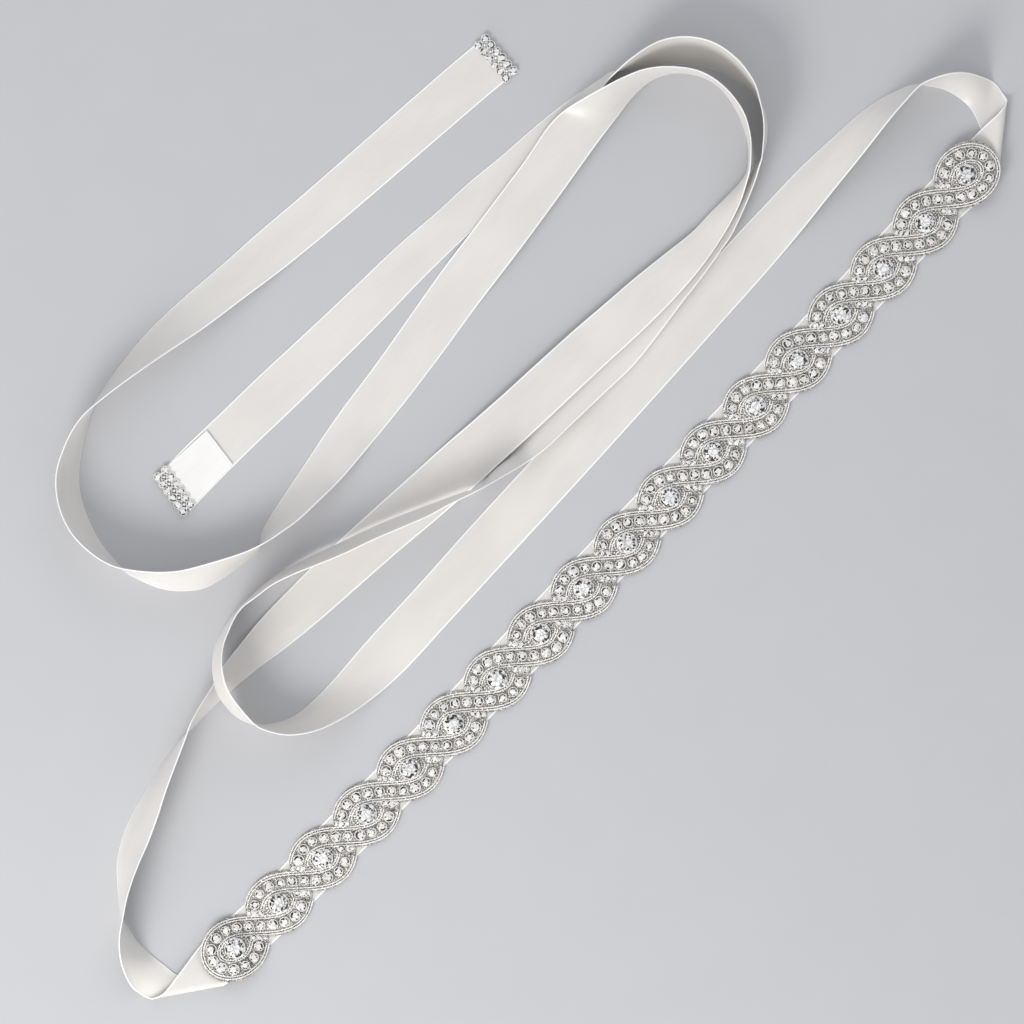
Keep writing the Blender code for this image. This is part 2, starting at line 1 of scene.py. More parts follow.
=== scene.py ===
import bpy
import json
import math
import random
import numpy as np
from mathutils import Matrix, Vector

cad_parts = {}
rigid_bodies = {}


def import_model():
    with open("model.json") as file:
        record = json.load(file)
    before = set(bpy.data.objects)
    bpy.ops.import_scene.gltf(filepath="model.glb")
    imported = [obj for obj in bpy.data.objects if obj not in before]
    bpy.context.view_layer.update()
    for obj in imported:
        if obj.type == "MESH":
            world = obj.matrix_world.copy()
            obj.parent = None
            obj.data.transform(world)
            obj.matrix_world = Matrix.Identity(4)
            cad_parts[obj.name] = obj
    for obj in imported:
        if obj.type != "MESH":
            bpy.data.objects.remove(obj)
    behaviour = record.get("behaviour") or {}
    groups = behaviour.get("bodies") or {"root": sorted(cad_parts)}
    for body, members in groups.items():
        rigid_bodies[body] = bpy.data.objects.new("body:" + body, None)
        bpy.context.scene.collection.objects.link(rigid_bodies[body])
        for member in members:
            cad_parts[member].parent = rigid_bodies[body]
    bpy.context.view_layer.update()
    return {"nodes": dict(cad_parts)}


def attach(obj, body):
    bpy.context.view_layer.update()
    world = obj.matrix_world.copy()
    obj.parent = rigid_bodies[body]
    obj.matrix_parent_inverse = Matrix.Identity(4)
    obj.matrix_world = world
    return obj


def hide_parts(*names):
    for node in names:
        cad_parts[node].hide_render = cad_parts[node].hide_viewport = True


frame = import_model()
random.seed(7)

ribbonCut = {  # in metres
    "width": 0.01905,
    "cloth": 0.00036,
    "selvedge": ((0.0, 0.7), (0.012, 1.35), (0.032, 1.4), (0.055, 1.0)),  # share of width, thickness factor
    "solidWall": 0.001,  # the frame's wall, whose lower face the cloth keeps to
    "step": 0.0022,
    "columns": (0.0, 0.012, 0.032, 0.055, 0.14, 0.26, 0.38, 0.5, 0.62, 0.74, 0.86, 0.945, 0.968, 0.988, 1.0),
}
photo = {  # its pixels give places, and the ribbon's width gives their real size
    "pixel": ribbonCut["width"] / 47.6,
    "centreX": 531.82,
    "centreY": 517.02,
    "side": 1024,
}


def onFloor(x, y, z=0.0):
    return np.array([(x - photo["centreX"]) * photo["pixel"], (photo["centreY"] - y) * photo["pixel"], z])


def raised(height):
    return np.array([0.0, 0.0, height])


# Materials
class Socket:
    def __init__(self, surface, output):
        self.surface, self.output = surface, output

    def math(self, operation, first, second):
        return self.surface.node("ShaderNodeMath", {"operation": operation}, {0: first, 1: second})

    def __add__(self, other):
        return self.math("ADD", self, other)

    def __radd__(self, other):
        return self.math("ADD", other, self)

    def __sub__(self, other):
        return self.math("SUBTRACT", self, other)

    def __rsub__(self, other):
        return self.math("SUBTRACT", other, self)

    def __mul__(self, other):
        return self.math("MULTIPLY", self, other)

    def __rmul__(self, other):
        return self.math("MULTIPLY", other, self)

    def __abs__(self):
        return self.math("ABSOLUTE", self, 0.0)


class Surface:
    def __init__(self, name, constants):
        self.material = bpy.data.materials.new(name)
        self.material.use_nodes = True
        self.tree = self.material.node_tree
        self.shader = self.tree.nodes["Principled BSDF"]
        for socket, value in constants.items():
            self.shader.inputs[socket].default_value = value

    def node(self, kind, settings, sockets, output=0):  # settings first, then values or links
        made = self.tree.nodes.new(kind)
        for setting, value in settings.items():
            setattr(made, setting, value)
        for socket, value in sockets.items():
            if isinstance(value, Socket):
                self.tree.links.new(value.output, made.inputs[socket])
            else:
                made.inputs[socket].default_value = value
        return Socket(self, made.outputs[output])

    def mixed(self, share, low, high):
        low, high = [value if isinstance(value, Socket) else (*value, 1.0) for value in (low, high)]
        return self.node("ShaderNodeMix", {"data_type": "RGBA"}, {0: share, 6: low, 7: high}, output=2)

    def spread(self, value, low, high, newLow=0.0, newHigh=1.0):
        return self.node("ShaderNodeMapRange", {}, {0: value, 1: low, 2: high, 3: newLow, 4: newHigh})

    def scaled(self, place, scale):
        return self.node("ShaderNodeMapping", {}, {0: place, 3: scale})

    def noise(self, place, scale, detail):
        return self.node("ShaderNodeTexNoise", {}, {0: place, "Scale": scale, "Detail": detail})

    def feed(self, socket, value):
        self.tree.links.new(value.output, self.shader.inputs[socket])

    def bump(self, height, distance, strength):
        sockets = {"Height": height, "Distance": distance, "Strength": strength}
        self.feed("Normal", self.node("ShaderNodeBump", {}, sockets))


weave = {  # patterns on the ribbon's flat cut, each with its scale across and along it
    "streaksAndSheen": (2600.0, 120.0, 1.0),
    "sheenClouds": (90.0, 26.0, 1.0),
    "waves": (30.0, 21.0, 1.0),  # the cloth never lies quite flat
    "waveHeight": 85.0,  # times the threads' depth
    "ribs": 900.0,
    "depth": 0.00006,
    "selvedge": (0.93, 0.955),  # from where to where the selvedges' painted highlight begins, as shares of the half width
    # the painted sheen's darkest and lightest, as shares of the body colour
    "sheenTones": (0.95, 1.05),
    "roughness": (0.3, 0.55),
}


def satin(name, look):
    made = Surface(name, {"Sheen Weight": look["sheen"], "Sheen Roughness": 0.45, "Specular IOR Level": 0.5})
    place = made.node("ShaderNodeUVMap", {"uv_map": "cloth"}, {})
    across = made.node("ShaderNodeSeparateXYZ", {}, {0: place})
    middle = ribbonCut["width"] / 2
    selvedge = made.spread(abs(across - middle), *[middle * share for share in weave["selvedge"]])
    streaksAndSheen = made.noise(made.scaled(place, weave["streaksAndSheen"]), 1.0, 3.0)
    sheenClouds = made.noise(made.scaled(place, weave["sheenClouds"]), 1.0, 2.0)
    waves = made.noise(made.scaled(place, weave["waves"]), 1.0, 1.0)
    bands = {0: place, "Scale": weave["ribs"], "Distortion": 0.4}
    ribs = made.node("ShaderNodeTexWave", {"bands_direction": "Y"}, bands, output=1)
    # Painted sheen: the body is painted lighter and darker in lengthwise streaks and clouds; the streaks also
    # vary roughness and relief.
    paintedSheen = made.spread(sheenClouds * 0.6 + streaksAndSheen * 0.4, 0.3, 0.7)
    sheenDim, sheenBright = [[min(c * share, 1.0) for c in look["body"]] for share in weave["sheenTones"]]
    # The selvedges are painted near white: a painted highlight where the rolled edge catches the light.
    made.feed("Base Color", made.mixed(selvedge, made.mixed(paintedSheen, sheenDim, sheenBright), look["edge"]))
    made.feed("Roughness", made.spread(streaksAndSheen + selvedge * 0.5, 0.3, 1.2, *weave["roughness"]))
    relief = waves * weave["waveHeight"] + streaksAndSheen * 0.5 + ribs * (selvedge * 0.8 + 0.15)
    made.bump(relief, weave["depth"], 0.5)
    return made.material


def netting(name, look):
    made = Surface(name, {"Metallic": 0.1})
    place = made.node("ShaderNodeTexCoord", {}, {}, output=3)
    cells = made.node("ShaderNodeTexVoronoi", {}, {0: place, "Scale": look["cells"], "Randomness": 0.55})
    glints = made.noise(place, look["glints"], 2.0)
    # Painted shade and glints: the net is painted dark where its cells sink between their raised middles, and
    # the noise paints glints.
    cellShadeAndGlints = made.spread(cells + glints * 0.6, 0.35, 1.0, 1.0, 0.0)
    made.feed("Base Color", made.mixed(cellShadeAndGlints, look["dark"], look["light"]))
    made.feed("Roughness", made.spread(glints, 0.3, 0.7, 0.3, 0.6))
    made.bump(1.0 - cells, 0.0003, 0.9)
    return made.material


def crystal(name, look):  # painted reflection: each facet is painted its own brightness, standing for what a cut stone's mirrored back reflects, with painted dark lines inside it
    made = Surface(name, {"Metallic": 0.2, "IOR": 1.6, "Coat Weight": 0.5, "Coat Roughness": 0.03})
    facetReflection = made.node("ShaderNodeAttribute", {"attribute_name": "facetReflection"}, {}, output=2)
    place = made.node("ShaderNodeTexCoord", {}, {}, output=3)
    cells = {0: place, "Scale": look["inner"]}
    inner = made.node("ShaderNodeTexVoronoi", {"feature": "DISTANCE_TO_EDGE"}, cells)
    # Painted reflections: each facet's own brightness, dimmed in painted lines inside it.
    reflectionLines = made.spread(inner, 0.0, 0.1, look["reflectionLines"], 1.0)
    made.feed("Base Color", made.mixed(made.spread(facetReflection, 0.0, 1.0) * reflectionLines, look["dark"], look["light"]))
    made.feed("Roughness", made.spread(facetReflection, 0.0, 1.0, 0.05, 0.2))
    return made.material


def beadMetal(name, look):
    made = Surface(name, {"Metallic": 0.15, "Coat Weight": 0.4})
    place = made.node("ShaderNodeTexCoord", {}, {}, output=3)
    speckle = made.noise(place, 700.0, 2.0)
    # lighter and glossier in small random spots
    made.feed("Base Color", made.mixed(made.spread(speckle, 0.38, 0.6), look["dark"], look["light"]))
    made.feed("Roughness", made.spread(speckle, 0.3, 0.7, 0.32, 0.14))
    return made.material


def paleFloor(name, look):
    made = Surface(name, {"Roughness": 0.75})
    place = made.node("ShaderNodeTexCoord", {}, {}, output=3)
    made.feed("Base Color", made.mixed(made.noise(place, 40.0, 3.0), look["dark"], look["light"]))
    return made.material


looks = {
    # Each satin's edge colour is the painted highlight on its selvedges.
    "satin": {"body": (0.715, 0.692, 0.66), "edge": (0.95, 0.95, 0.94), "sheen": 0.15},
    # The hem's body is painted lighter than the ribbon's: painted sheen on its folded face.
    "hem": {"body": (0.88, 0.87, 0.85), "edge": (0.96, 0.96, 0.95), "sheen": 0.1},
    "net": {"dark": (0.15, 0.138, 0.12), "light": (0.74, 0.71, 0.66), "cells": 1150.0, "glints": 520.0},
    "bead": {"dark": (0.80, 0.78, 0.74), "light": (1.0, 0.98, 0.95)},
    # A stone's dark and light are the ends of its painted reflections.
    "centre": {"dark": (0.02, 0.02, 0.022), "light": (1.0, 1.0, 0.98), "inner": 520.0, "reflectionLines": 0.4},
    "small": {"dark": (0.015, 0.015, 0.014), "light": (1.0, 0.99, 0.965), "inner": 800.0, "reflectionLines": 0.65},
    "tip": {"dark": (0.08, 0.08, 0.08), "light": (1.0, 1.0, 1.0), "inner": 800.0, "reflectionLines": 0.65},
    "floor": {"dark": (0.50, 0.505, 0.52), "light": (0.52, 0.525, 0.54)},
}
surfaces = {
    "satin": satin("ivorySatin", looks["satin"]),
    "hem": satin("hemSatinPaintedSheen", looks["hem"]),
    "net": netting("silverNetting", looks["net"]),
    "bead": beadMetal("silverBead", looks["bead"]),
    "centre": crystal("centreCrystal", looks["centre"]),
    "small": crystal("smallCrystal", looks["small"]),
    "tip": crystal("tipCrystal", looks["tip"]),
    "floor": paleFloor("paleFloor", looks["floor"]),
}
print("materials made")


# Ribbon
# Its sections in order: selvedge a's x and y, then selvedge b's, in the photograph's pixels, the lower
# selvedge's height in millimetres, and how far the ribbon stands up on it: 1 with b up, -1 with a up,
# 0 lying flat.
sections = (
    (484.0, 37.0, 514.5, 73.5, 0.0, 0.0),
    (460.0, 57.0, 490.5, 93.5, 0.0, 0.0),
    (400.0, 109.0, 431.0, 144.5, 0.0, 0.0),
    (340.0, 162.0, 370.5, 196.5, 0.0, 0.0),
    (300.0, 197.0, 328.5, 232.0, 0.0, 0.0),
    (260.0, 231.0, 285.0, 267.5, 0.0, 0.15),
    (220.0, 266.5, 242.5, 299.5, 0.0, 0.4),
    (180.0, 301.0, 202.5, 329.5, 0.0, 0.65),
    (150.0, 330.0, 170.5, 351.0, 0.0, 0.85),
    (125.0, 359.5, 140.5, 371.5, 0.0, 1.0),
    (108.0, 383.0, 115.5, 389.5, 0.0, 1.0),
    (97.0, 400.0, 99.5, 402.0, 0.0, 1.0),
    (93.0, 409.5, 88.5, 411.0, 0.0, 1.0),
    (87.0, 429.0, 74.0, 429.0, 0.0, 1.0),
    (82.0, 448.0, 63.5, 451.0, 0.0, 1.0),
    (79.0, 478.0, 56.5, 479.0, 0.0, 1.0),
    (81.5, 500.0, 59.5, 506.0, 0.0, 1.0),
    (89.0, 521.0, 70.0, 530.0, 0.0, 1.0),
    (99.0, 541.0, 85.0, 547.5, 0.0, 1.0),
    (108.0, 553.0, 100.0, 559.0, 0.0, 1.0),
    (117.0, 563.5, 115.0, 566.5, 0.0, 1.0),
    (127.0, 573.0, 129.0, 569.5, 0.0, 1.0),
    (141.0, 580.5, 146.0, 571.5, 0.0, 1.0),
    (159.0, 588.0, 163.0, 572.0, 0.0, 1.0),
    (182.0, 591.0, 181.0, 570.5, 0.0, 1.0),
    (204.0, 588.0, 198.0, 566.5, 0.0, 1.0),
    (222.0, 578.5, 214.0, 562.0, 0.0, 1.0),
    (238.0, 567.0, 231.0, 557.0, 0.0, 1.0),
    (252.0, 556.5, 248.0, 551.0, 0.0, 1.0),
    (259.5, 548.5, 261.0, 545.0, 0.0, 1.0),
    (260.5, 538.5, 270.0, 540.0, 0.0, 1.0),
    (264.5, 527.5, 282.0, 532.0, 0.0, 1.0),
    (272.5, 513.5, 297.0, 521.5, 0.0, 0.95),
    (285.0, 494.0, 318.0, 502.0, 0.0, 0.8),
    (302.0, 468.5, 340.0, 480.5, 0.0, 0.5),
    (322.0, 438.0, 362.0, 455.0, 0.0, 0.2),
    (341.0, 410.5, 381.0, 432.0, 0.0, 0.0),
    (370.0, 372.0, 408.0, 398.5, 0.0, 0.0),
    (400.0, 330.0, 438.5, 358.5, 0.0, 0.0),
    (440.0, 273.0, 478.5, 304.0, 0.3, 0.0),
    (480.0, 220.5, 519.0, 251.0, 1.8, 0.0),
    (521.0, 166.0, 559.5, 196.0, 2.0, 0.0),
    (561.0, 113.0, 599.0, 141.0, 2.8, 0.0),
    (584.0, 98.5, 619.0, 114.5, 2.4, -0.6),
    (605.0, 87.0, 632.0, 97.5, 1.6, -0.75),
    (622.0, 78.5, 646.0, 84.0, 0.8, -0.9),
    (641.0, 71.0, 657.5, 77.5, 0.0, -1.0),
    (659.0, 67.8, 668.5, 74.0, 0.0, -1.0),
    (678.0, 68.0, 680.0, 73.0, 0.0, -1.0),
    (700.0, 72.5, 699.0, 76.0, 0.0, -1.0),
    (720.0, 84.5, 718.5, 86.5, 0.0, -1.0),
    (735.5, 101.0, 732.0, 103.0, 0.0, -1.0),
    (744.0, 115.0, 739.8, 117.0, 0.0, -1.0),
    (748.3, 129.0, 744.6, 130.0, 0.0, -1.0),
    (750.4, 142.0, 748.0, 142.5, 0.4, -1.0),
    (750.3, 156.0, 748.8, 156.0, 1.4, -1.0),
    (749.0, 172.0, 747.4, 171.5, 2.6, -0.85),
    (745.5, 185.0, 740.3, 182.5, 2.8, -0.62),
    (741.0, 200.0, 728.0, 196.0, 2.8, -0.48),
    (732.0, 220.0, 712.0, 211.5, 2.8, -0.38),
    (719.0, 242.0, 694.0, 230.5, 2.8, -0.3),
    (700.0, 269.0, 668.0, 251.5, 3.2, -0.25),
    (675.0, 298.0, 639.0, 274.5, 3.3, -0.15),
    (640.0, 333.0, 604.0, 304.5, 3.4, 0.0),
    (610.0, 360.5, 577.0, 327.5, 3.2, 0.0),
    (569.0, 399.0, 537.0, 363.5, 4.0, 0.0),
    (529.0, 436.5, 498.5, 398.5, 3.6, 0.0),
    (505.0, 458.5, 474.0, 420.0, 2.8, 0.0),
    (480.0, 481.5, 446.0, 444.0, 1.4, 0.0),
    (440.0, 516.5, 405.5, 480.5, 0.2, 0.0),
    (400.0, 550.0, 366.0, 516.0, 0.0, 0.0),
    (360.0, 585.0, 328.0, 551.0, 0.0, 0.0),
    (320.0, 620.0, 291.0, 587.5, 0.0, 0.05),
    (285.0, 648.5, 259.5, 620.5, 0.0, 0.12),
    (260.0, 667.0, 238.5, 646.5, 0.0, 0.18),
    (240.0, 683.0, 223.0, 667.0, 0.0, 0.25),
    (221.0, 699.0, 212.0, 687.0, 0.0, 0.35),
    (205.0, 715.0, 200.0, 706.5, 0.0, 0.75),
    (194.5, 726.0, 191.5, 722.5, 0.0, 1.0),
    (181.0, 739.5, 186.5, 737.0, 0.0, 1.0),
    (168.0, 757.0, 179.0, 757.0, 0.0, 1.0),
    (150.0, 783.5, 167.5, 788.0, 0.0, 1.0),
    (133.0, 813.0, 157.5, 819.0, 0.0, 1.0),
    (121.5, 841.0, 148.5, 843.0, 0.0, 1.0),
    (117.0, 866.0, 138.5, 866.0, 0.0, 1.0),
    (118.0, 888.0, 130.5, 888.0, 0.0, 1.0),
    (119.5, 905.0, 126.0, 905.0, 0.0, 1.0),
    (122.0, 918.0, 123.5, 919.0, 0.0, 1.0),
    (127.5, 927.0, 121.0, 931.0, 0.0, 1.0),
    (137.0, 942.0, 120.0, 948.0, 0.0, 1.0),
    (150.0, 954.0, 122.5, 966.0, 0.0, 0.8),
    (163.0, 964.0, 131.0, 986.0, 0.0, 0.35),
    (182.0, 978.0, 139.5, 993.5, 0.0, 0.15),
    (208.0, 984.5, 146.5, 997.6, 0.2, 0.0),
    (222.0, 986.0, 153.0, 998.8, 1.9, 0.0),
    (229.0, 981.5, 162.5, 994.0, 3.8, 0.0),
    (234.0, 974.0, 178.0, 975.0, 3.2, 0.0),
    (242.5, 968.5, 205.5, 939.0, 1.2, 0.0),
    (259.5, 954.5, 226.0, 921.0, 0.0, 0.0),
    (372.0, 841.0, 338.0, 808.0, 0.0, 0.0),
    (620.5, 580.0, 586.0, 547.0, 0.0, 0.0),
    (869.0, 318.5, 834.0, 285.0, 0.0, 0.0),
    (969.5, 209.5, 935.5, 176.0, 0.0, 0.0),
    (984.0, 197.0, 964.0, 147.0, 0.7, 0.0),
    (990.0, 190.0, 984.0, 126.5, 2.2, 0.0),
    (994.0, 183.0, 1001.0, 110.5, 3.6, 0.0),
    (998.5, 177.0, 1007.0, 101.0, 1.8, 0.0),
    (994.0, 168.0, 1002.5, 93.0, 0.0, 0.0),
    (984.0, 138.0, 994.0, 82.5, 0.0, 0.0),
    (973.0, 112.0, 982.0, 77.0, 0.0, 0.3),
    (960.0, 98.5, 965.0, 73.0, 0.0, 0.7),
    (943.0, 89.0, 945.5, 75.0, 0.0, 1.0),
    (930.0, 86.2, 931.5, 79.8, 0.0, 1.0),
    (921.0, 84.6, 922.0, 84.0, 0.0, 1.0),
    (910.5, 85.5, 912.5, 93.0, 0.0, 1.0),
    (897.0, 91.0, 903.5, 103.0, 0.0, 1.0),
    (880.0, 99.5, 892.5, 116.0, 0.0, 1.0),
    (860.0, 113.5, 879.5, 132.5, 0.0, 0.9),
    (838.0, 133.0, 862.5, 154.5, 0.0, 0.7),
    (800.0, 168.0, 830.0, 195.0, 0.0, 0.45),
    (770.0, 199.5, 803.0, 229.0, 0.0, 0.2),
    (740.0, 231.0, 774.5, 263.0, 0.0, 0.0),
    (700.0, 274.5, 735.0, 307.5, 0.0, 0.0),
    (620.0, 362.0, 655.0, 397.0, 0.0, 0.0),
    (533.0, 458.0, 568.0, 493.0, 0.0, 0.0),
    (470.0, 527.0, 505.0, 561.5, 0.0, 0.0),
    (410.0, 594.0, 446.0, 625.5, 0.0, 0.0),
    (365.0, 643.0, 401.5, 673.5, 0.0, 0.0),
    (335.0, 678.0, 372.0, 699.0, 0.0, 0.3),
    (315.0, 699.5, 341.0, 719.5, 0.0, 0.75),
    (298.0, 714.0, 313.0, 731.5, 0.0, 0.95),
    (281.0, 722.3, 286.5, 734.5, 0.0, 1.0),
    (266.0, 725.0, 268.0, 730.5, 0.0, 1.0),
    (256.0, 725.0, 257.0, 725.6, 0.3, 1.0),
    (246.5, 722.0, 249.5, 718.0, 0.8, 1.0),
    (236.5, 716.5, 241.0, 708.0, 2.2, 1.0),
    (225.0, 704.5, 232.0, 695.5, 5.2, 1.0),
    (217.0, 691.5, 226.5, 684.5, 7.6, 1.0),
    (213.5, 676.0, 223.5, 671.5, 7.8, 1.0),
    (213.0, 660.0, 222.5, 657.5, 5.0, 1.0),
    (216.5, 643.5, 224.5, 643.5, 2.2, 1.0),
    (224.0, 628.0, 229.7, 629.7, 0.6, 1.0),
    (232.0, 616.0, 234.8, 618.4, 0.0, 1.0),
    (241.0, 606.0, 242.2, 607.8, 0.0, 1.0),
    (253.5, 594.5, 255.5, 597.5, 0.0, 1.0),
    (270.0, 579.8, 272.8, 584.6, 0.0, 1.0),
    (290.0, 567.5, 293.0, 574.5, 0.9, 1.0),
    (313.0, 555.5, 316.5, 565.0, 1.7, 1.0),
    (340.0, 543.0, 344.5, 553.5, 1.7, 1.0),
    (370.0, 528.5, 375.0, 539.0, 1.7, 1.0),
    (400.0, 516.0, 404.5, 526.5, 1.8, 1.0),
    (425.0, 506.5, 428.5, 516.0, 2.2, 1.0),
    (447.0, 498.5, 449.5, 504.5, 2.8, 1.0),
    (465.0, 492.0, 466.5, 496.3, 3.2, 1.0),
    (481.0, 486.5, 482.0, 488.5, 2.0, 1.0),
    (490.5, 473.5, 494.5, 481.5, 0.6, 0.9),
    (501.0, 462.0, 508.5, 473.5, 0.2, 0.65),
    (512.0, 451.0, 524.5, 464.0, 0.1, 0.35),
    (528.0, 428.0, 545.5, 449.0, 0.6, 0.25),
    (545.0, 402.0, 570.0, 426.0, 1.3, 0.16),
    (570.0, 368.0, 600.0, 397.5, 1.4, 0.08),
    (604.0, 327.0, 637.0, 361.5, 1.4, 0.0),
    (625.0, 302.0, 660.0, 332.5, 1.4, 0.1),
    (648.0, 277.0, 682.0, 303.0, 1.3, 0.18),
    (672.0, 255.0, 702.0, 277.5, 0.9, 0.22),
    (694.0, 234.0, 719.0, 253.5, 0.3, 0.28),
    (710.0, 219.0, 731.0, 236.0, 0.0, 0.33),
    (724.0, 203.0, 741.0, 215.5, 0.0, 0.42),
    (737.0, 188.0, 749.5, 195.5, 0.0, 0.55),
    (748.5, 173.5, 755.8, 178.0, 0.0, 0.7),
    (756.0, 165.0, 758.6, 168.0, 0.0, 0.9),
    (761.2, 157.5, 761.4, 158.5, 0.0, 1.0),
    (764.8, 149.0, 762.2, 149.0, 0.0, 1.0),
    (767.0, 137.0, 763.2, 137.0, 0.0, 1.0),
    (767.2, 125.0, 763.4, 125.6, 0.0, 1.0),
    (764.6, 112.5, 762.0, 113.3, 0.0, 1.0),
    (759.0, 101.0, 759.2, 101.0, 0.0, 1.0),
    (752.0, 92.0, 755.5, 87.0, 0.0, 1.0),
    (740.0, 84.5, 748.0, 73.5, 0.0, 1.0),
    (723.0, 74.0, 735.0, 58.0, 0.0, 1.0),
    (704.0, 67.0, 713.0, 43.0, 0.0, 1.0),
    (684.0, 64.8, 687.0, 37.2, 0.0, 1.0),
    (664.0, 65.5, 661.0, 41.0, 0.0, 1.0),
    (645.0, 68.5, 640.0, 52.5, 0.0, 1.0),
    (631.0, 71.0, 624.0, 65.0, 0.0, 0.9),
    (621.0, 71.0, 617.5, 71.2, 0.0, 0.75),
    (611.5, 72.0, 610.5, 78.0, 0.0, 0.6),
    (600.0, 79.5, 603.0, 87.5, 0.0, 0.4),
    (585.0, 89.5, 593.0, 101.0, 0.0, 0.2),
    (562.0, 105.0, 577.0, 124.0, 0.0, 0.06),
    (530.0, 131.0, 551.0, 157.0, 0.0, 0.0),
    (500.0, 157.0, 527.0, 184.0, 0.0, 0.0),
    (470.0, 181.5, 499.0, 208.0, 0.0, 0.0),
    (440.0, 209.0, 466.5, 236.5, 0.0, 0.0),
    (400.0, 243.5, 430.0, 271.5, 0.0, 0.0),
    (350.0, 291.0, 383.0, 320.0, 0.0, 0.0),
    (300.0, 338.0, 335.0, 368.0, 0.0, 0.0),
    (260.0, 375.0, 293.5, 408.5, 0.0, 0.0),
    (220.0, 413.5, 253.0, 447.0, 0.0, 0.0),
    (180.0, 452.0, 213.0, 487.0, 0.0, 0.0),
    (162.0, 471.0, 190.0, 511.0, 0.0, 0.0),
)


class Ribbon:
    def __init__(self):
        self.ends = np.array([self.sectionEnds(*row) for row in sections])
        middles = (self.ends[:, :3] + self.ends[:, 3:]) / 2
        steps = np.linalg.norm(np.diff(middles, axis=0), axis=1)
        self.places = np.concatenate([[0.0], np.cumsum(steps)])  # measured along the middle
        self.length = self.places[-1]
        self.slopes = self.findSlopes(steps[:, None])

    def sectionEnds(self, ax, ay, bx, by, lift, stand):
        a, b = onFloor(ax, ay), onFloor(bx, by)
        rise = abs(stand) * math.sqrt(max(ribbonCut["width"] ** 2 - np.linalg.norm(b - a) ** 2, 0.0))
        low = lift * 0.001 + ribbonCut["solidWall"] / 2
        a[2] = low + (rise if stand < 0 else 0.0)
        b[2] = low + (rise if stand > 0 else 0.0)
        return np.concatenate([a, b])

    def findSlopes(self, steps):
        rates = np.diff(self.ends, axis=0) / steps
        slopes = np.empty_like(self.ends)
        slopes[0], slopes[-1] = rates[0], rates[-1]
        slopes[1:-1] = (rates[:-1] * steps[1:] + rates[1:] * steps[:-1]) / (steps[:-1] + steps[1:])
        for height in (2, 5):  # heights never overshoot, so nothing dips under the floor
            turning = rates[:-1, height] * rates[1:, height] <= 0
            slopes[1:-1, height][turning] = 0.0
            for i, rate in enumerate(rates[:, height]):
                limit = 3 * abs(rate)
                slopes[i, height] = np.clip(slopes[i, height], -limit, limit)
                slopes[i + 1, height] = np.clip(slopes[i + 1, height], -limit, limit)
        return slopes

    def endsAt(self, place):
        i = int(np.clip(np.searchsorted(self.places, place) - 1, 0, len(self.places) - 2))
        step = self.places[i + 1] - self.places[i]
        t = (place - self.places[i]) / step
        ends, slopes = self.ends, self.slopes
        return ((2 * t ** 3 - 3 * t ** 2 + 1) * ends[i] + (t ** 3 - 2 * t ** 2 + t) * step * slopes[i]
                + (3 * t ** 2 - 2 * t ** 3) * ends[i + 1] + (t ** 3 - t ** 2) * step * slopes[i + 1])

    def ring(self, place):  # points across the cloth's two faces
        reach = 0.0002
        here = self.endsAt(place)
        run = self.endsAt(min(place + reach, self.length)) - self.endsAt(max(place - reach, 0.0))
        width = here[3:] - here[:3]
        upper, lower = [], []
        for share in ribbonCut["columns"]:
            normal = np.cross((1 - share) * run[:3] + share * run[3:], width)
            normal = normal / np.linalg.norm(normal)
            cloth = ribbonCut["cloth"] * np.interp(min(share, 1.0 - share), *zip(*ribbonCut["selvedge"]))
            middle = here[:3] + share * width - raised((ribbonCut["solidWall"] - ribbonCut["cloth"]) / 2)
            upper.append(middle + normal * cloth / 2)
            lower.append(middle - normal * cloth / 2)
        return upper, lower


def pieceFrom(name, points, faces, surface, sharpAngle):
    mesh = bpy.data.meshes.new(name)
    mesh.from_pydata(np.asarray(points).tolist(), [], [tuple(face) for face in faces])
    mesh.materials.append(surfaces[surface])
    mesh.shade_smooth()
    mesh.set_sharp_from_angle(angle=math.radians(sharpAngle))
    piece = bpy.data.objects.new(name, mesh)
    bpy.context.scene.collection.objects.link(piece)
    return piece


def sheet(name, rings, places, columns, surface):  # a closed thin cloth; its UV map is its flat cut
    width = len(columns)
    points = [point for upper, lower in rings for point in (*upper, *lower)]
    faces = []
    for i in range(len(rings) - 1):
        here, there = i * 2 * width, (i + 1) * 2 * width
        for k in range(width - 1):
            faces.append((here + k, there + k, there + k + 1, here + k + 1))
            faces.append((here + width + k, here + width + k + 1, there + width + k + 1, there + width + k))
        faces.append((here, here + width, there + width, there))
        faces.append((here + width - 1, there + width - 1, there + 2 * width - 1, here + 2 * width - 1))
    end = (len(rings) - 1) * 2 * width
    for k in range(width - 1):
        faces.append((k, k + 1, width + k + 1, width + k))
        faces.append((end + k, end + width + k, end + width + k + 1, end + k + 1))
    piece = pieceFrom(name, points, faces, surface, 60)
    corners = np.empty(len(piece.data.loops), dtype=np.int32)
    piece.data.loops.foreach_get("vertex_index", corners)
    flat = np.stack([np.array(columns)[corners % width] * ribbonCut["width"],
                     np.array(places)[corners // (2 * width)]], axis=1)
    piece.data.uv_layers.new(name="cloth").data.foreach_set("uv", flat.astype(np.float32).ravel())
    return piece


ribbon = Ribbon()
stations = np.linspace(0.0, ribbon.length, int(ribbon.length / ribbonCut["step"]))
ribbonRings = [ribbon.ring(place) for place in stations]
satinRibbon = sheet("satinRibbon", ribbonRings, stations, ribbonCut["columns"], "satin")
dressed = {"applique", "first_tail_stones", "second_tail_stones", "second_tail_hem"}
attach(satinRibbon, "root")
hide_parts(*[name for name in frame["nodes"] if name not in dressed])
print("ribbon made,", round(ribbon.length, 3), "m long")


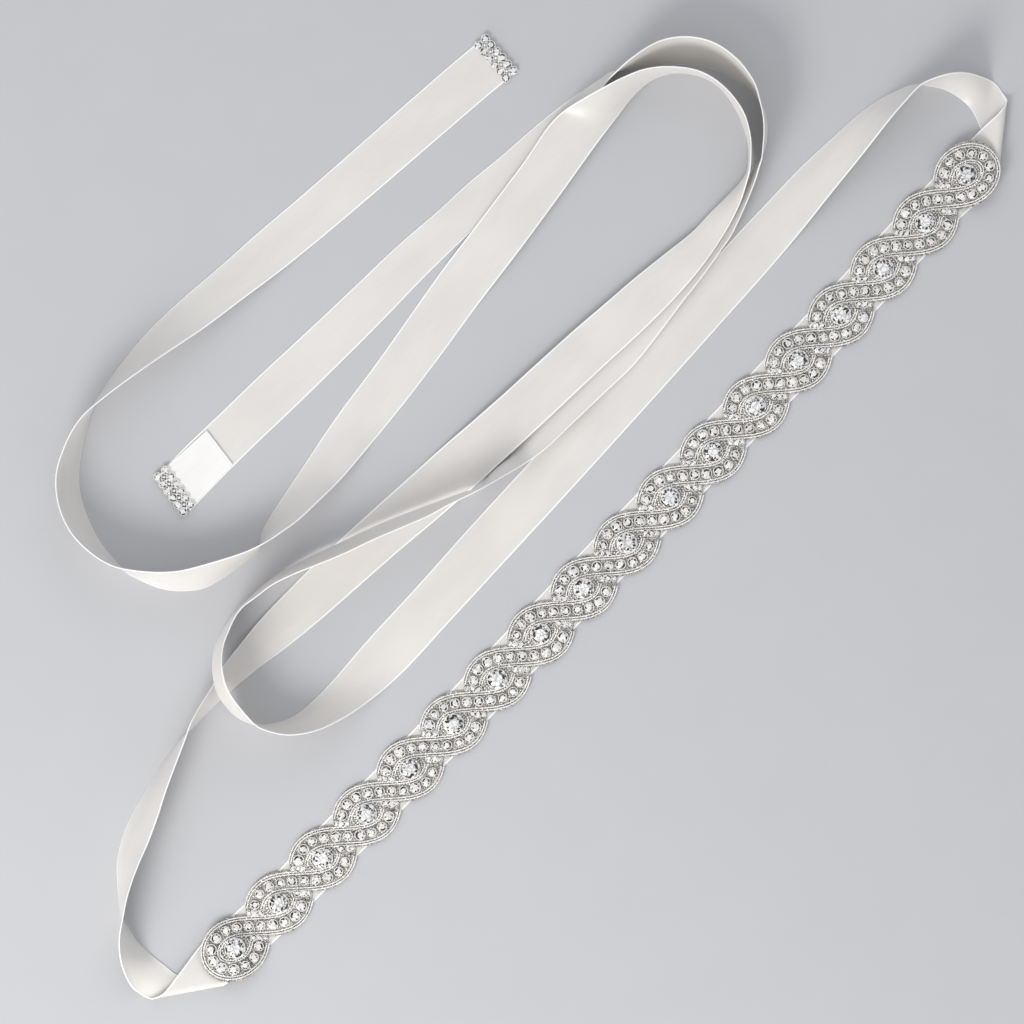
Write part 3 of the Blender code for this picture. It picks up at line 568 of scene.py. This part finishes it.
# Small shapes, each modelled once at a radius of 1 and then copied
def pick(test):  # selects the faces that pass, in edit mode
    bpy.ops.object.mode_set(mode="EDIT")
    bpy.ops.mesh.select_mode(type="FACE")
    bpy.ops.mesh.select_all(action="DESELECT")
    bpy.ops.object.mode_set(mode="OBJECT")
    for face in bpy.context.object.data.polygons:
        face.select = test(face)
    bpy.ops.object.mode_set(mode="EDIT")


def takeShape():
    bpy.ops.object.mode_set(mode="OBJECT")
    made = bpy.context.object
    points = np.array([tuple(made.matrix_world @ vertex.co) for vertex in made.data.vertices])
    faces = [tuple(face.vertices) for face in made.data.polygons]
    normals = [face.normal.z for face in made.data.polygons]
    bpy.data.objects.remove(made, do_unlink=True)
    return points, faces, normals


def stoneShape(sides, girdle, crown):  # crown: each tier's rise and how much it narrows
    bpy.ops.object.select_all(action="DESELECT")
    bpy.ops.mesh.primitive_cylinder_add(vertices=sides, radius=1.0, depth=girdle, location=(0, 0, girdle / 2))
    for rise, narrower in crown:
        pick(lambda face: face.normal.z > 0.99)
        bpy.ops.mesh.extrude_region_move(TRANSFORM_OT_translate={"value": (0, 0, rise)})
        bpy.ops.transform.resize(value=(narrower, narrower, 1), center_override=(0, 0, 0))
        bpy.ops.transform.rotate(value=math.pi / sides, orient_axis="Z", center_override=(0, 0, 0))
    pick(lambda face: 0.05 < face.normal.z < 0.99)
    bpy.ops.mesh.quads_convert_to_tris()  # the half turns make them the crown's triangles
    return takeShape()


cup = {  # the setting under a stone
    "sides": 10,
    "radius": 1.2,
    "height": 0.4,
    "rim": 0.16,
    "well": 0.18,
    "claws": 4,
    "clawFoot": 0.24,
    "clawTip": 0.1,
    "clawHeight": 0.7,
    "clawPlace": (1.08, 0.36),  # out from the middle and up
    "stoneRise": 0.2,
}


def settingShape():
    out, up = cup["clawPlace"]
    bpy.ops.object.select_all(action="DESELECT")
    for i in range(cup["claws"]):
        angle = 2 * math.pi * (i + 0.5) / cup["claws"]
        bpy.ops.mesh.primitive_cone_add(vertices=4, radius1=cup["clawFoot"], radius2=cup["clawTip"],
                                        depth=cup["clawHeight"],
                                        location=(out * math.cos(angle), out * math.sin(angle), up))
    clawPieces = [item for item in bpy.data.objects if item.name.startswith("Cone")]
    bpy.ops.mesh.primitive_cylinder_add(vertices=cup["sides"], radius=cup["radius"], depth=cup["height"],
                                        location=(0, 0, cup["height"] / 2))
    pick(lambda face: face.normal.z > 0.99)
    bpy.ops.mesh.inset(thickness=cup["rim"])
    bpy.ops.mesh.extrude_region_move(TRANSFORM_OT_translate={"value": (0, 0, -cup["well"])})
    bpy.ops.object.mode_set(mode="OBJECT")
    for item in clawPieces:
        item.select_set(True)
    bpy.ops.object.join()
    return takeShape()


def beadShape():
    bpy.ops.object.select_all(action="DESELECT")
    bpy.ops.mesh.primitive_ico_sphere_add(subdivisions=1, radius=1.0)
    return takeShape()


shapes = {
    "bead": beadShape(),
    "centre": stoneShape(16, 0.2, ((0.2, 0.8), (0.2, 0.66))),
    "small": stoneShape(8, 0.22, ((0.36, 0.6),)),
    "setting": settingShape(),
}
facetReflectionLevels = {  # the painted reflections of a stone's facets, from dark 0 to bright 1
    "table": (0.8, 1.0),
    "crown": (0.0, 0.0, 0.3, 0.9, 1.0, 1.0),
    "girdle": 0.1,
}
print("beads and stones modelled")


class Beading:  # many copies of one shape, joined in one mesh
    def __init__(self, name, shape, surface, sharpAngle):
        self.name, self.surface, self.sharpAngle = name, surface, sharpAngle
        self.shapePoints, self.shapeFaces, self.normals = shapes[shape]
        self.points, self.faces, self.facetReflections = [], [], []

    def add(self, place, size, turn=0.0, tilt=(0.0, 0.0), stretch=1.0):
        c, s = math.cos(turn), math.sin(turn)
        spin = np.array([[c * stretch, s * stretch, 0.0], [-s, c, 0.0], [tilt[0], tilt[1], 1.0]])
        first = len(self.points) * len(self.shapePoints)
        self.points.append(self.shapePoints @ spin * size + place)
        self.faces += [tuple(i + first for i in face) for face in self.shapeFaces]
        self.facetReflections += [self.facetReflection(up) for up in self.normals]

    def facetReflection(self, up):  # painted reflection: the table is painted bright, the girdle dim, and the crown in a painted sparkle of dark and bright facets
        if up > 0.99:
            return random.uniform(*facetReflectionLevels["table"])
        return random.choice(facetReflectionLevels["crown"]) if up > 0.05 else facetReflectionLevels["girdle"]

    def finish(self, slot):
        piece = pieceFrom(self.name, np.concatenate(self.points), self.faces, self.surface, self.sharpAngle)
        layer = piece.data.attributes.new("facetReflection", "FLOAT", "FACE")
        layer.data.foreach_set("value", self.facetReflections)
        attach(piece, "root")
        return piece


# Applique
belt = {  # the chain of medallions, in metres, from the first to the last one's place in pixels
    "medallions": 18,
    "first": (235.0, 948.0),
    "last": (968.0, 176.5),
    "neck": 0.0054,  # half widths of the net
    "reach": 0.0066,
    "scallop": 0.75,
    "margin": 0.0003,
    "endReach": 0.0146,
    "bow": 0.0021,  # how far the chain swings to its lower side
    "lastShift": 0.0010,  # how far the last medallion lies to the upper side
    "lastPart": (0.9, 0.1),  # where that starts and its length, as shares of the chain
    "net": 0.0003,
    "netColumns": 9,
    "netRings": 620,
}
underNet = {  # what carries the net, looked for along the chain
    "places": 240,
    "bare": 0.0006,  # its height where no ribbon is near
    "ribbonPlaces": 4000,
    "sideReach": 0.0145,
    "reach": 0.003,
    "gap": 0.0001,
}
start = onFloor(*belt["first"])
chain = onFloor(*belt["last"]) - start
chainLength = np.linalg.norm(chain)
along = chain / chainLength
across = np.cross([0.0, 0.0, 1.0], along)
pitch = chainLength / (belt["medallions"] - 1)


def clothTops():  # the ribbon's height along the applique, so that the net lies on it
    places = np.linspace(-belt["endReach"], chainLength + belt["endReach"], underNet["places"])
    heights = np.full(len(places), underNet["bare"])
    for place in np.linspace(0.0, ribbon.length, underNet["ribbonPlaces"]):
        ends = ribbon.endsAt(place)
        for share in (0.0, 0.25, 0.5, 0.75, 1.0):
            point = (1 - share) * ends[:3] + share * ends[3:]
            forward, side = np.dot(point - start, along), np.dot(point - start, across)
            if abs(side) < underNet["sideReach"]:
                near = np.abs(places - forward) < underNet["reach"]
                heights[near] = np.maximum(heights[near], point[2])
    highest = [heights[max(i - 2, 0):i + 3].max() for i in range(len(heights))]
    evened = [np.mean(highest[max(i - 3, 0):i + 4]) for i in range(len(highest))]
    return places, np.array(evened) + underNet["gap"]


topPlaces, topHeights = clothTops()


def onBelt(forward, side, height=0.0):
    share = min(max(forward / chainLength, 0.0), 1.0)
    begin, part = belt["lastPart"]
    nearEnd = max((share - begin) / part, 0.0)
    side += belt["lastShift"] * nearEnd ** 2 - belt["bow"] * math.sin(math.pi * share)
    base = float(np.interp(forward, topPlaces, topHeights))
    return start + forward * along + side * across + raised(base + height)


def netEdge(forward):  # the scalloped half width, round at the two ends
    beyond = max(-forward, forward - chainLength, 0.0) / belt["endReach"]
    scallop = abs(math.cos(math.pi * min(max(forward, 0.0), chainLength) / pitch)) ** belt["scallop"]
    halfWidth = belt["neck"] + belt["reach"] * scallop
    return halfWidth * math.sqrt(max(1.0 - beyond ** 2, 0.0)) + belt["margin"]


def inNet(forward, side, room):
    between = -belt["endReach"] < forward < chainLength + belt["endReach"]
    return between and abs(side) < netEdge(forward) + room


def makeNet():
    places = np.linspace(-belt["endReach"], chainLength + belt["endReach"], belt["netRings"])
    shares = np.linspace(0.0, 1.0, belt["netColumns"])
    rings, area = [], 0.0
    for forward in places:
        edge = netEdge(forward)
        area += 2 * edge * (places[1] - places[0])
        sides = edge * (2 * shares - 1)
        upper = [onBelt(forward, side, belt["net"]) for side in sides]
        rings.append((upper, [onBelt(forward, side) for side in sides]))
    return sheet("appliqueNet", rings, places, shares, "net"), area


braid = {  # the stone-set band that winds from one side of the chain to the other, and closes round its ends
    "swing": 0.0082,
    "endSwing": 0.0099,
    "lead": 0.0012,
    "span": 0.0275,
    "halfTurns": (-0.45, 1.45),  # where the winding stops, before and after its span
    "before": 0.0085,  # how far a strand runs along its first and last medallion
    "after": 0.0067,
    "halfWidth": 0.0028,
    "bead": 0.00036,
    "beadSizes": (0.92, 1.08),
    "beadRise": 0.7,  # of its radius
    "beadPitch": 0.00058,
    "cordGap": 0.00098,
    "margin": 0.0009,  # how far its beads may pass the net's edge
    "stone": 0.00178,
    "stonePitch": 0.0048,
    "firstStone": 0.35,  # its place, in pitches
    "stoneSizes": (0.86, 1.08),
    "stoneTilt": 0.14,
    "points": {"ring": 80, "lead": 24, "strand": 160},  # along its drawn lines
}
centre = {
    "stone": 0.0040,
    "seat": 0.0002,  # its cup's height on the net
    "cup": 0.9,  # the cup's and the cut stone's size, of the stone's
    "cut": 0.97,
    "cupTurn": 0.1,
    "rise": 0.0008,
    "tilt": 0.08,
    "rings": ((0.00095, 30, 0.00036), (0.0021, 36, 0.00034)),  # distance from the stone, beads, bead radius
    "wholeWithin": 0.001,  # rings further out leave room for the braid
    "beadRise": 0.6,  # of its radius
    "side": (  # small stones beside it: along the belt, across it, and the radius
        (0.0081, -0.0025, 0.00125),
        (0.0097, -0.0043, 0.0013),
        (0.0111, -0.0059, 0.00095),
    ),
    "sideTilt": 0.1,
}
seeds = {
    "spacing": 0.00135,
    "astray": 0.0003,
    "smallest": 0.0003,
    "largest": 0.00054,
    "halfWidth": 0.0122,
    "fromEnd": 0.001,
    "fromEdge": 0.0004,
    "seat": 0.0001,
}

beads = Beading("appliqueBeads", "bead", "bead", 80)
seedBeads = Beading("appliqueSmallBeads", "bead", "small", 20)
settings = Beading("stoneCups", "setting", "bead", 40)
centreStones = Beading("centreStones", "centre", "centre", 5)
sideStones = Beading("sideStones", "small", "small", 5)


def randomTilt(most):
    return random.uniform(-most, most), random.uniform(-most, most)


def braidSide(forward):  # from the upper side of its medallion to the lower side of the next
    fewest, most = braid["halfTurns"]
    halfTurns = min(max((forward + braid["lead"]) / braid["span"], fewest), most)
    return braid["swing"] * math.cos(math.pi * halfTurns)


def stringBeads(path, size, height):  # beads at an even pitch along points on the belt
    path = np.array(path)
    reach = np.concatenate([[0.0], np.cumsum(np.linalg.norm(np.diff(path, axis=0), axis=1))])
    for place in np.arange(0.0, reach[-1], braid["beadPitch"]):
        forward, side = np.interp(place, reach, path[:, 0]), np.interp(place, reach, path[:, 1])
        if inNet(forward, side, braid["margin"]):
            beads.add(onBelt(forward, side, belt["net"] + height), size * random.uniform(*braid["beadSizes"]))


def setStone(forward, side, size, tilt):
    place = onBelt(forward, side, belt["net"] + centre["seat"])
    turn = random.random() * 2 * math.pi
    settings.add(place, size, turn)
    sideStones.add(place + raised(size * cup["stoneRise"]), size, turn, randomTilt(tilt))


def endRing(end, sign):  # round the far side of the first or last medallion
    ring = []
    for turn in np.linspace(math.pi, 0.0, braid["points"]["ring"]):
        forward = braid["endSwing"] * math.sin(turn) - braid["lead"] * math.cos(turn)
        ring.append((forward, braid["swing"] * math.cos(turn)))
    for forward in np.linspace(-braid["lead"], -braid["before"], braid["points"]["lead"])[1:]:
        ring.append((forward, braidSide(forward)))
    return [(end + sign * forward, sign * side) for forward, side in ring][::sign]


def strand(k):  # the middle line of one band
    last = k == belt["medallions"] - 2
    begin = -braid["before"] if k else -braid["lead"]
    stop = braid["span"] - braid["lead"] + (0.0 if last else braid["after"])
    steps = np.linspace(begin, stop, braid["points"]["strand"])
    path = [(k * pitch + forward, braidSide(forward)) for forward in steps]
    opening = endRing(0.0, -1)[:-1] if k == 0 else []
    closing = endRing(chainLength, 1)[1:] if last else []
    return np.array(opening + path + closing)


def makeBraid(k):
    middle = strand(k)
    run = np.gradient(middle, axis=0)
    outward = np.stack([-run[:, 1], run[:, 0]], axis=1) / np.linalg.norm(run, axis=1)[:, None]
    inner, outer = braid["halfWidth"], braid["halfWidth"] + braid["cordGap"]
    for offset in (-outer, -inner, inner, outer):
        stringBeads(middle + offset * outward, braid["bead"], braid["bead"] * braid["beadRise"])
    steps = np.linalg.norm(np.diff(middle, axis=0), axis=1)
    reach = np.concatenate([[0.0], np.cumsum(steps)])
    for place in np.arange(braid["stonePitch"] * braid["firstStone"], reach[-1], braid["stonePitch"]):
        forward, side = np.interp(place, reach, middle[:, 0]), np.interp(place, reach, middle[:, 1])
        setStone(forward, side, braid["stone"] * random.uniform(*braid["stoneSizes"]), braid["stoneTilt"])


def makeMedallion(k):
    middle = k * pitch
    place = onBelt(middle, 0.0, belt["net"] + centre["seat"])
    settings.add(place, centre["stone"] * centre["cup"], centre["cupTurn"])
    turn, tilt = random.random() * 6, randomTilt(centre["tilt"])
    centreStones.add(place + raised(centre["rise"]), centre["stone"] * centre["cut"], turn, tilt)
    for distance, count, size in centre["rings"]:
        radius = centre["stone"] + distance
        for i in range(count):
            turn = 2 * math.pi * i / count
            forward, side = radius * math.cos(turn), radius * math.sin(turn)
            fromBraid = min(abs(side - braidSide(forward)), abs(side - braidSide(forward + pitch)))
            if fromBraid > braid["halfWidth"] or distance < centre["wholeWithin"]:
                height = belt["net"] + size * centre["beadRise"]
                beads.add(onBelt(middle + forward, side, height), size)
    for forward, side, size in centre["side"]:
        for sign in (1, -1):
            if 0.0 < middle + sign * forward < chainLength:
                setStone(middle + sign * forward, sign * side, size, centre["sideTilt"])


def makeSeeds():
    reach, astray = belt["endReach"] - seeds["fromEnd"], seeds["astray"]
    for forward in np.arange(-reach, chainLength + reach, seeds["spacing"]):
        for side in np.arange(-seeds["halfWidth"], seeds["halfWidth"], seeds["spacing"]):
            here = (forward + random.uniform(-astray, astray), side + random.uniform(-astray, astray))
            if inNet(*here, -seeds["fromEdge"]):
                size = random.uniform(seeds["smallest"], seeds["largest"])
                seedBeads.add(onBelt(*here, belt["net"] + seeds["seat"]), size, random.random() * 6)


net, netArea = makeNet()
for k in range(belt["medallions"] - 1):
    makeBraid(k)
for k in range(belt["medallions"]):
    makeMedallion(k)
makeSeeds()
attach(net, "root")
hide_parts("applique")
onNet = [group.finish("crystal_beading") for group in (beads, seedBeads, settings, centreStones, sideStones)]
print("applique made")


# Ends
hemFold = {
    "corners": ((206.8, 430.6), (232.7, 464.4), (190.2, 507.9), (162.8, 470.6)),  # in pixels
    "rings": 10,
    "thickness": 0.0005,
    "gap": 0.00012,  # over the ribbon
    "puff": 0.00012,
    "puffEnd": 1.6,  # the fold's length over the puffed part's
    "stitches": 17,
    "stitched": (0.03, 0.97),  # from where to where, as shares of the fold's edge
    "stitch": 0.00014,
    "stitchLength": 3.0,
    "stitchHeight": 0.00066,
    "inset": 0.0011,
}
foldA, foldB, endB, endA = [onFloor(*corner) for corner in hemFold["corners"]]
hemLength = np.linalg.norm(endA - foldA)


def makeHem():
    places = np.linspace(0.0, hemLength, hemFold["rings"])
    rings = []
    for place in places:
        t = place / hemLength
        low, high = foldA + (endA - foldA) * t, foldB + (endB - foldB) * t
        puff = hemFold["puff"] * math.sin(math.pi * min(t * hemFold["puffEnd"], 1.0))
        base = raised(ribbonCut["cloth"] + hemFold["gap"] + puff)
        lower = [low + (high - low) * share + base for share in ribbonCut["columns"]]
        rings.append(([point + raised(hemFold["thickness"]) for point in lower], lower))
    return sheet("secondTailHem", rings, places, ribbonCut["columns"], "hem")


hem = makeHem()
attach(hem, "root")
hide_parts("second_tail_hem")

stitches = Beading("hemStitches", "bead", "hem", 80)
inward = (endA - foldA) / hemLength * hemFold["inset"]
foldTurn = math.atan2(*(foldB - foldA)[1::-1])
for t in np.linspace(*hemFold["stitched"], hemFold["stitches"]):
    place = foldA + (foldB - foldA) * t + inward + raised(ribbonCut["cloth"] + hemFold["stitchHeight"])
    stitches.add(place, hemFold["stitch"], foldTurn, stretch=hemFold["stitchLength"])
stitchRow = stitches.finish("satin_hem")

tips = {  # each row's first and last stone in pixels, and its height on the cloth
    "firstTailStones": {"node": "first_tail_stones", "height": 0.0001,
                        "rows": (((478.5, 45.5), (506.0, 78.0)), ((485.5, 38.5), (513.0, 70.5)))},
    "secondTailStones": {"node": "second_tail_stones", "height": 0.0006,
                         "rows": (((165.6, 470.1), (190.4, 504.3)), ((158.0, 477.0), (183.0, 511.5)))},
}
tipRow = {
    "stones": 6,
    "stone": 0.00155,
    "rise": 0.0003,
    "tilt": 0.1,
    "links": (0.0005, 0.00062),  # radii of the small beads between the rows
    "linkRise": 0.0004,
}


def makeTip(name, tip):
    stones = Beading(name, "small", "tip", 5)
    collars = Beading(name + "Collars", "setting", "bead", 40)
    links = Beading(name + "Links", "bead", "bead", 80)
    rows = [np.linspace(onFloor(*first), onFloor(*last), tipRow["stones"]) for first, last in tip["rows"]]
    height = ribbonCut["cloth"] + tip["height"]
    for row in rows:
        for place in row + raised(height):
            turn = random.random() * 2 * math.pi
            collars.add(place, tipRow["stone"], turn)
            stones.add(place + raised(tipRow["rise"]), tipRow["stone"], turn, randomTilt(tipRow["tilt"]))
    between = (rows[0] + rows[1]) / 2 + raised(height + tipRow["linkRise"])
    for i, place in enumerate(between):
        links.add(place, tipRow["links"][0])
        if i:
            links.add((place + between[i - 1]) / 2, tipRow["links"][1])
    made = [group.finish("crystal_beading") for group in (stones, collars, links)]
    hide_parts(tip["node"])
    return made


firstTip, secondTip = [makeTip(name, tip) for name, tip in tips.items()]
print("ends made")


# Floor, light and camera
studio = {
    "sky": (0.955, 0.965, 1.0, 1.0),
    "skyStrength": 0.68,
    "lights": {  # place, size, watts, colour
        "keyLight": ((-0.6, -0.9, 0.85), 0.6, 9.0, (1.0, 0.985, 0.96)),
        "lowLight": ((-0.7, -1.2, 0.55), 1.0, 7.5, (1.0, 0.985, 0.965)),
        "fillLight": ((0.2, 1.3, 0.8), 1.1, 4.0, (0.96, 0.975, 1.0)),
    },
    "floorSize": 6.0,
    "cameraHeight": 8.0,
}
bpy.ops.object.select_all(action="DESELECT")
bpy.ops.mesh.primitive_plane_add(size=studio["floorSize"])
floor = bpy.context.object
floor.name = "floor"
floor.data.materials.append(surfaces["floor"])

world = bpy.data.worlds.new("studio")
world.use_nodes = True
world.node_tree.nodes["Background"].inputs["Color"].default_value = studio["sky"]
world.node_tree.nodes["Background"].inputs["Strength"].default_value = studio["skyStrength"]
bpy.context.scene.world = world
for name, (place, size, watts, colour) in studio["lights"].items():
    lamp = bpy.data.lights.new(name, "AREA")
    lamp.shape = "DISK"
    lamp.size, lamp.energy, lamp.color = size, watts, colour
    holder = bpy.data.objects.new(name, lamp)
    holder.location = place
    holder.rotation_euler = (-Vector(place)).to_track_quat("-Z", "Y").to_euler()
    bpy.context.scene.collection.objects.link(holder)

camera = bpy.data.cameras.new("camera")
camera.lens = camera.sensor_width * studio["cameraHeight"] / (photo["side"] * photo["pixel"])
camera.clip_end = 5 * studio["cameraHeight"]
holder = bpy.data.objects.new("camera", camera)
holder.location = onFloor(photo["side"] / 2, photo["side"] / 2, studio["cameraHeight"])
bpy.context.scene.collection.objects.link(holder)
bpy.context.scene.camera = holder
bpy.context.scene.view_settings.view_transform = "Standard"
print("floor, light and camera made")
